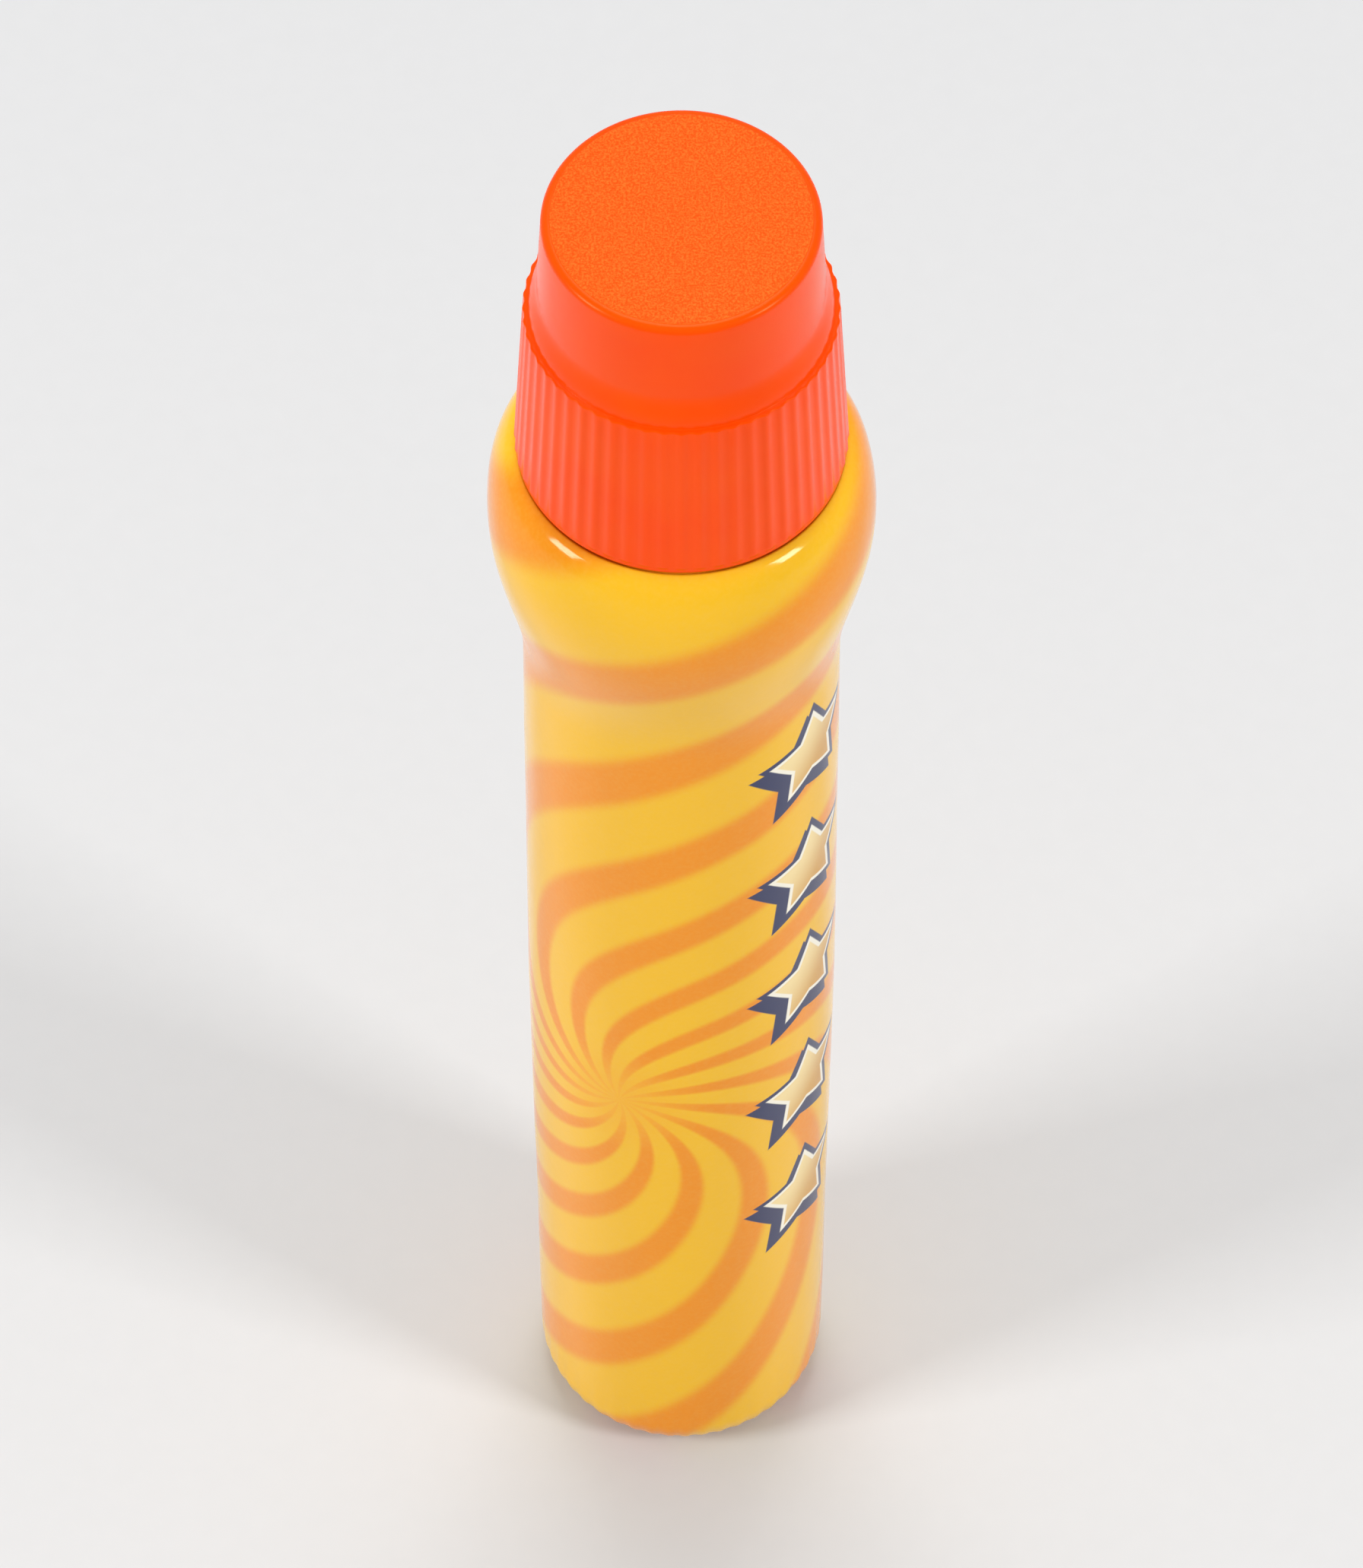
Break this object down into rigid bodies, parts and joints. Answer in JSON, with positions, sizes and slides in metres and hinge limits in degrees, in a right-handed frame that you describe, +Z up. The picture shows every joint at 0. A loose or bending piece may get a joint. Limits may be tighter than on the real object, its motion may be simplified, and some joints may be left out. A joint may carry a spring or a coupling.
{
  "type": "bingo dauber",
  "caption": "Slim standing ink dauber: a sleeved bottle with a swollen shoulder, a ribbed screw cap, and a sprung foam tip that opens a valve when pressed.",
  "frame": {"origin": "centre of the standing base, on the surface that the dauber stands on", "axes": "+Z up the bottle's axis towards the cap, -Y towards the viewer"},
  "size_m": [0.0281, 0.028, 0.1455],
  "materials": {
    "bottle_plastic": "gloss",
    "label_film": "gloss",
    "ink": "gloss",
    "fitment_plastic": "satin",
    "spring_steel": "satin",
    "valve_plastic": "satin",
    "washer_rubber": "matte",
    "foam": "matte",
    "tip_fabric": "matte",
    "seal_plastic": "satin",
    "cap_plastic": "gloss"
  },
  "bodies": {
    "bottle": {"bottle": "bottle_plastic", "label_sleeve": "label_film", "ink_fill": "ink", "tip_housing": "fitment_plastic", "spring_cage": "fitment_plastic", "valve_spring": "spring_steel", "tip_ring": "fitment_plastic"},
    "valve": {"valve_stem": "valve_plastic", "valve_washer": "washer_rubber", "foam_holder": "valve_plastic", "tip_foam": "foam", "tip_cloth": "tip_fabric"},
    "cap_seal": {"cap_seal": "seal_plastic"},
    "cap": {"cap": "cap_plastic"}
  },
  "joints": [
    {"name": "cap_rise", "type": "slide", "parent": "bottle", "child": "cap_seal", "axis": [0, 0, 1], "range_m": [0, 0.0432]},
    {"name": "cap_turn", "type": "hinge", "parent": "cap_seal", "child": "cap", "pos_m": [0, 0, 0.13], "axis": [0, 0, 1], "range_deg": [0, 1620]},
    {"name": "valve_press", "type": "slide", "parent": "bottle", "child": "valve", "axis": [0, 0, -1], "range_m": [0, 0.0022], "stiffness_N_per_m": 400, "springref_m": -0.003, "deforming": ["valve_spring"]}
  ],
  "couplings": [
    {"joint": "cap_rise", "follows": "cap_turn", "m_per_rad": 0.0015279}
  ]
}
